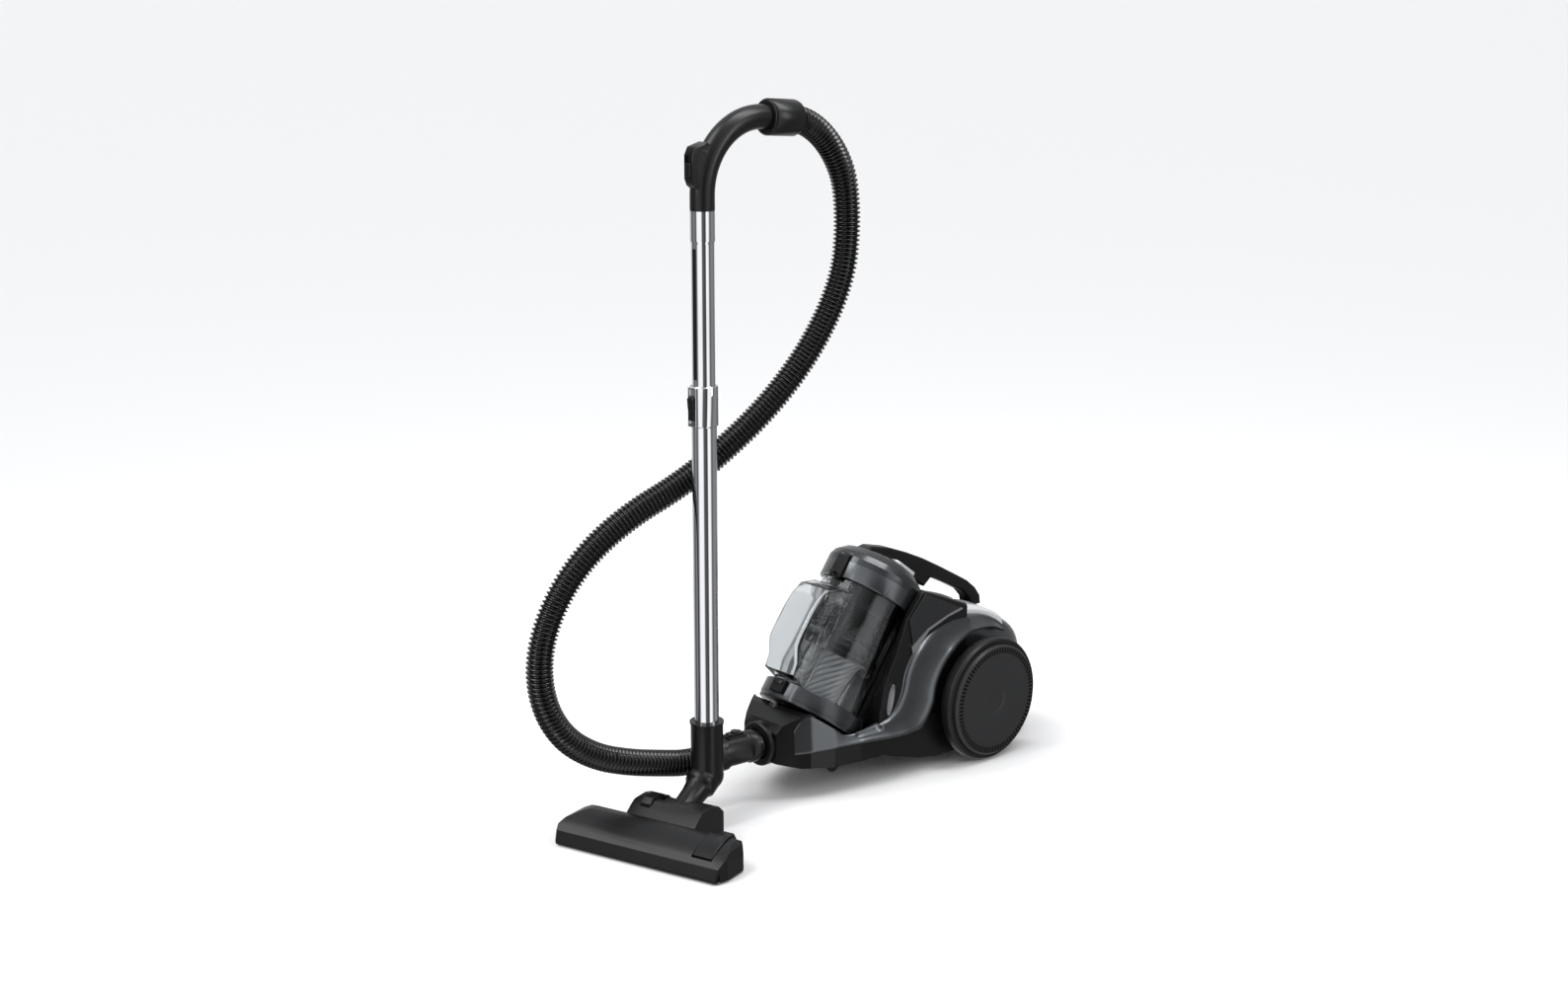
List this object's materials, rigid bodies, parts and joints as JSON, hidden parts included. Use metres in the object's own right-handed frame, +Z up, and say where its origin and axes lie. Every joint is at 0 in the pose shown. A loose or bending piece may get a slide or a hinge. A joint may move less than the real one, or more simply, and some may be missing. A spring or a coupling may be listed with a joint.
{
  "type": "canister_vacuum_cleaner",
  "caption": "Bagless canister vacuum cleaner with clear cyclone bin, carry handle, ribbed hose, telescopic wand and a rocker floor head",
  "frame": {"origin": "centre of the footprint box of everything but the hose, on the floor", "axes": "+Z up; +X to the canister's own left side, which faces the camera; -Y the way the canister and wand point"},
  "size_m": [0.3702, 0.9761, 1.1062],
  "materials": {
    "body_black": "satin black moulding",
    "bright_trim": "plated bright trim",
    "bristle": "black bristles",
    "chrome_tube": "polished tube",
    "clear_bin": "clear polycarbonate",
    "cone_grey": "light grey moulding",
    "filter_white": "pleated paper",
    "gunmetal": "gunmetal metallic lacquer",
    "hose_black": "gloss black ribbed",
    "motor_metal": "cast and turned",
    "panel_black": "fine-grained black",
    "pearl_silver": "pearl silver lacquer",
    "smoke_black": "gloss black",
    "steel": "brushed plate",
    "tyre_black": "soft black",
    "wheel_black": "satin black"
  },
  "bodies": {
    "canister": {"chassis_tub": "body_black", "shoulder_shell": "body_black", "rear_cover": "gunmetal", "fender_left": "gunmetal", "fender_right": "gunmetal", "side_panel_left": "panel_black", "side_panel_right": "panel_black", "side_trim_left": "bright_trim", "side_trim_right": "bright_trim", "stub_axles": "bright_trim", "fan_case": "body_black", "motor": "motor_metal", "exhaust_filter": "filter_white", "exhaust_grille": "body_black", "cord_gland": "body_black", "inlet_collar": "body_black", "inlet_duct": "body_black", "connector": "body_black", "hose": "hose_black", "lower_tube": "chrome_tube", "tube_collar": "chrome_tube", "elbow_cuff": "body_black", "tub_screws": "body_black"},
    "wheel_left": {"rim_left": "wheel_black", "tyre_left": "tyre_black"},
    "wheel_right": {"rim_right": "wheel_black", "tyre_right": "tyre_black"},
    "caster_yoke": {"caster_fork": "body_black"},
    "caster_roller": {"caster_wheel": "tyre_black"},
    "reel": {"cord_reel": "body_black"},
    "foot_pedal_left": {"pedal_power": "pearl_silver"},
    "foot_pedal_right": {"pedal_rewind": "pearl_silver"},
    "bin": {"bin_ring": "gunmetal", "bin_cup": "clear_bin", "lid_ring": "gunmetal", "lid": "gunmetal", "shroud": "smoke_black", "shroud_skirt": "smoke_black", "cone": "cone_grey", "inlet_riser": "clear_bin", "carry_handle": "body_black"},
    "bin_floor": {"bin_door": "gunmetal"},
    "door_catch": {"door_latch": "smoke_black"},
    "lid_catch": {"lid_latch": "smoke_black"},
    "handle_release": {"handle_button": "pearl_silver"},
    "connector_catch": {"connector_clip": "pearl_silver"},
    "hose_swivel": {"hose_end_collar": "body_black"},
    "upper_wand": {"upper_tube": "chrome_tube", "notch_strip": "body_black", "handle_grip": "body_black"},
    "wand_release": {"release_slider": "body_black"},
    "suction_slide": {"suction_valve": "body_black"},
    "handle_swivel": {"hose_cuff": "body_black"},
    "neck_joint": {"neck": "body_black"},
    "head": {"head_shell": "body_black", "sole_plate": "steel"},
    "head_rollers": {"head_wheels": "tyre_black"},
    "rocker_front": {"pedal_front": "body_black"},
    "rocker_small": {"pedal_small": "body_black"},
    "brushes": {"brush_strips": "bristle"}
  },
  "joints": [
    {"name": "wheel_left_spin", "type": "hinge", "parent": "canister", "child": "wheel_left", "pos_m": [0.07994, 0.29447, 0.104], "axis": [1, 0, 0], "continuous": true},
    {"name": "wheel_right_spin", "type": "hinge", "parent": "canister", "child": "wheel_right", "pos_m": [-0.16006, 0.29447, 0.104], "axis": [1, 0, 0], "continuous": true},
    {"name": "caster_swivel", "type": "hinge", "parent": "canister", "child": "caster_yoke", "pos_m": [-0.04006, 0.04347, 0.05], "axis": [0, 0, 1], "continuous": true},
    {"name": "caster_roll", "type": "hinge", "parent": "caster_yoke", "child": "caster_roller", "pos_m": [-0.04006, 0.05347, 0.016], "axis": [1, 0, 0], "continuous": true},
    {"name": "reel_spin", "type": "hinge", "parent": "canister", "child": "reel", "pos_m": [-0.04006, 0.38347, 0.088], "axis": [0, 1, 0], "continuous": true},
    {"name": "power_pedal_press", "type": "hinge", "parent": "canister", "child": "foot_pedal_left", "pos_m": [0.01594, 0.28347, 0.24], "axis": [1, 0, 0], "range_deg": [-4, 0], "stiffness_Nm_per_rad": 1.2, "springref_deg": 2.86},
    {"name": "rewind_pedal_press", "type": "hinge", "parent": "canister", "child": "foot_pedal_right", "pos_m": [-0.09606, 0.28347, 0.24], "axis": [1, 0, 0], "range_deg": [-4, 0], "stiffness_Nm_per_rad": 1.2, "springref_deg": 2.86},
    {"name": "bin_lift", "type": "slide", "parent": "canister", "child": "bin", "axis": [0, 0.5948, 0.8039], "range_m": [0, 0.45]},
    {"name": "bin_door_swing", "type": "hinge", "parent": "bin", "child": "bin_floor", "pos_m": [-0.04006, 0.06557, 0.06184], "axis": [1, 0, 0], "range_deg": [0, 52]},
    {"name": "door_latch_press", "type": "hinge", "parent": "bin", "child": "door_catch", "pos_m": [-0.04006, -0.06671, 0.16719], "axis": [1, 0, 0], "range_deg": [0, 8], "stiffness_Nm_per_rad": 0.4, "springref_deg": -5.73},
    {"name": "lid_latch_press", "type": "hinge", "parent": "bin", "child": "lid_catch", "pos_m": [-0.04006, 0.08997, 0.37221], "axis": [1, 0, 0], "range_deg": [-8, 0], "stiffness_Nm_per_rad": 0.4, "springref_deg": 5.73},
    {"name": "handle_button_press", "type": "slide", "parent": "bin", "child": "handle_release", "axis": [0, 0.5948, 0.8039], "range_m": [-0.002, 0], "stiffness_N_per_m": 900, "springref_m": 0.001},
    {"name": "connector_clip_press", "type": "slide", "parent": "canister", "child": "connector_catch", "axis": [-0.0068, -0.0431, 0.999], "range_m": [-0.002, 0], "stiffness_N_per_m": 900, "springref_m": 0.001},
    {"name": "hose_end_swivel", "type": "hinge", "parent": "canister", "child": "hose_swivel", "pos_m": [-0.05257, -0.18547, 0.08451], "axis": [-0.1563, -0.9867, -0.0436], "continuous": true},
    {"name": "wand_telescope", "type": "slide", "parent": "canister", "child": "upper_wand", "axis": [0, 0, 1], "range_m": [-0.2, 0.02], "deforming": ["hose"]},
    {"name": "wand_release_slide", "type": "slide", "parent": "canister", "child": "wand_release", "axis": [0, 0, 1], "range_m": [0, 0.008], "stiffness_N_per_m": 500, "springref_m": -0.001},
    {"name": "suction_valve_slide", "type": "slide", "parent": "upper_wand", "child": "suction_slide", "axis": [0, 0, 1], "range_m": [0, 0.01]},
    {"name": "handle_cuff_swivel", "type": "hinge", "parent": "upper_wand", "child": "handle_swivel", "pos_m": [-0.00956, -0.09659, 1.0775], "axis": [0, 0.9968, -0.0802], "continuous": true},
    {"name": "neck_swivel", "type": "hinge", "parent": "canister", "child": "neck_joint", "pos_m": [-0.00129, -0.26837, 0.06305], "axis": [0.2434, -0.8487, -0.4695], "range_deg": [-12, 60]},
    {"name": "head_pitch", "type": "hinge", "parent": "neck_joint", "child": "head", "pos_m": [0.01028, -0.30874, 0.04072], "axis": [0.9613, 0.2756, 0], "range_deg": [-12, 12]},
    {"name": "head_wheel_roll", "type": "hinge", "parent": "head", "child": "head_rollers", "pos_m": [0.00753, -0.29913, 0.009], "axis": [0.9613, 0.2756, 0], "continuous": true},
    {"name": "rocker_front_tilt", "type": "hinge", "parent": "head", "child": "rocker_front", "pos_m": [0.13945, -0.35285, 0.0293], "axis": [0.9613, 0.2756, 0], "range_deg": [-3, 0]},
    {"name": "rocker_small_tilt", "type": "hinge", "parent": "head", "child": "rocker_small", "pos_m": [-0.01894, -0.34105, 0.0548], "axis": [0.9613, 0.2756, 0], "range_deg": [-3, 0]},
    {"name": "brush_drop", "type": "slide", "parent": "head", "child": "brushes", "axis": [0, 0, 1], "range_m": [-0.004, 0]}
  ],
  "couplings": [
    {"joint": "bin_door_swing", "follows": "bin_lift", "rad_per_m": 2.0167},
    {"joint": "rocker_small_tilt", "follows": "rocker_front_tilt", "ratio": 1},
    {"joint": "brush_drop", "follows": "rocker_front_tilt", "m_per_rad": 0.07}
  ]
}
